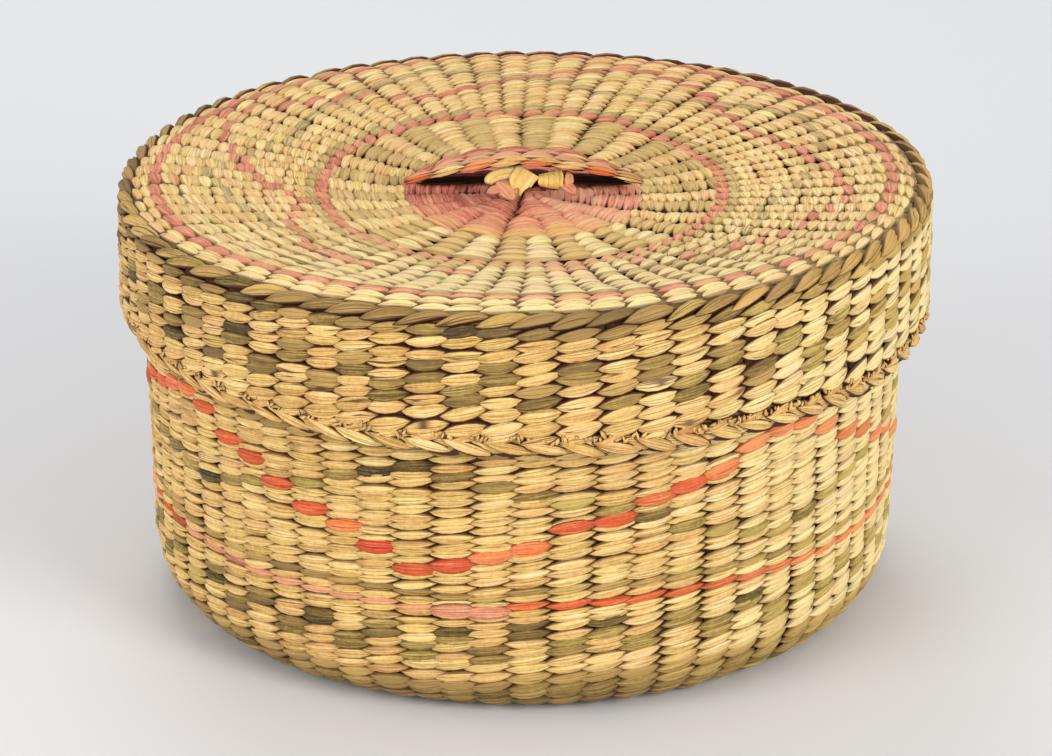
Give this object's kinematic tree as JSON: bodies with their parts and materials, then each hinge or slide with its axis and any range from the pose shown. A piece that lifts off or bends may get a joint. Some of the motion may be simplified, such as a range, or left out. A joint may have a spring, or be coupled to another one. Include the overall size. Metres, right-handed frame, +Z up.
{
  "type": "lidded basket",
  "caption": "Low round twined basket with a close-fitting flat lid, coloured bands and zigzags, and a small arched strap on the lid.",
  "frame": {"origin": "middle of the flat base, on the surface that the basket stands on", "axes": "+Z up through the middle of the lid, +X along the strap handle, -Y towards the side that the picture shows"},
  "size_m": [0.16, 0.16, 0.0884],
  "materials": {
    "natural_fibre": "satin dried plant fibre",
    "olive_fibre": "satin dyed plant fibre",
    "red_fibre": "satin dyed plant fibre",
    "splint": "satin split bark"
  },
  "bodies": {
    "basket": {"base_start_knot": "splint", "base_mat": "natural_fibre", "wall_foot_courses": "olive_fibre", "wall_lower_band": "natural_fibre", "wall_checker_band": "olive_fibre", "wall_natural_band": "natural_fibre", "wall_red_course": "red_fibre", "wall_natural_course": "natural_fibre", "wall_olive_course": "olive_fibre", "wall_zigzag_field": "natural_fibre", "wall_upper_olive_course": "olive_fibre", "wall_neck_band": "natural_fibre", "body_rim_braid": "natural_fibre", "body_warps": "splint", "body_inner_weft": "natural_fibre"},
    "lid": {"lid_start_knot": "splint", "lid_red_centre": "red_fibre", "lid_spoke_band": "olive_fibre", "lid_inner_red_course": "red_fibre", "lid_inner_olive_course": "olive_fibre", "lid_zigzag_field": "natural_fibre", "lid_outer_red_course": "red_fibre", "lid_shoulder_band": "natural_fibre", "lid_crown_braid": "olive_fibre", "skirt_olive_course": "olive_fibre", "skirt_natural_band": "natural_fibre", "skirt_checker_band": "olive_fibre", "skirt_lower_band": "natural_fibre", "skirt_rim_braid": "natural_fibre", "lid_warps": "splint", "lid_inner_weft": "natural_fibre"},
    "handle": {"lid_handle_strap": "red_fibre"}
  },
  "joints": [
    {"name": "lid_lift", "type": "slide", "parent": "basket", "child": "lid", "axis": [0, 0, 1], "range_m": [0, 0.12]},
    {"name": "handle_tilt", "type": "hinge", "parent": "lid", "child": "handle", "pos_m": [0, 0, 0.0824], "axis": [1, 0, 0], "range_deg": [-30, 30], "stiffness_Nm_per_rad": 0.00005}
  ]
}
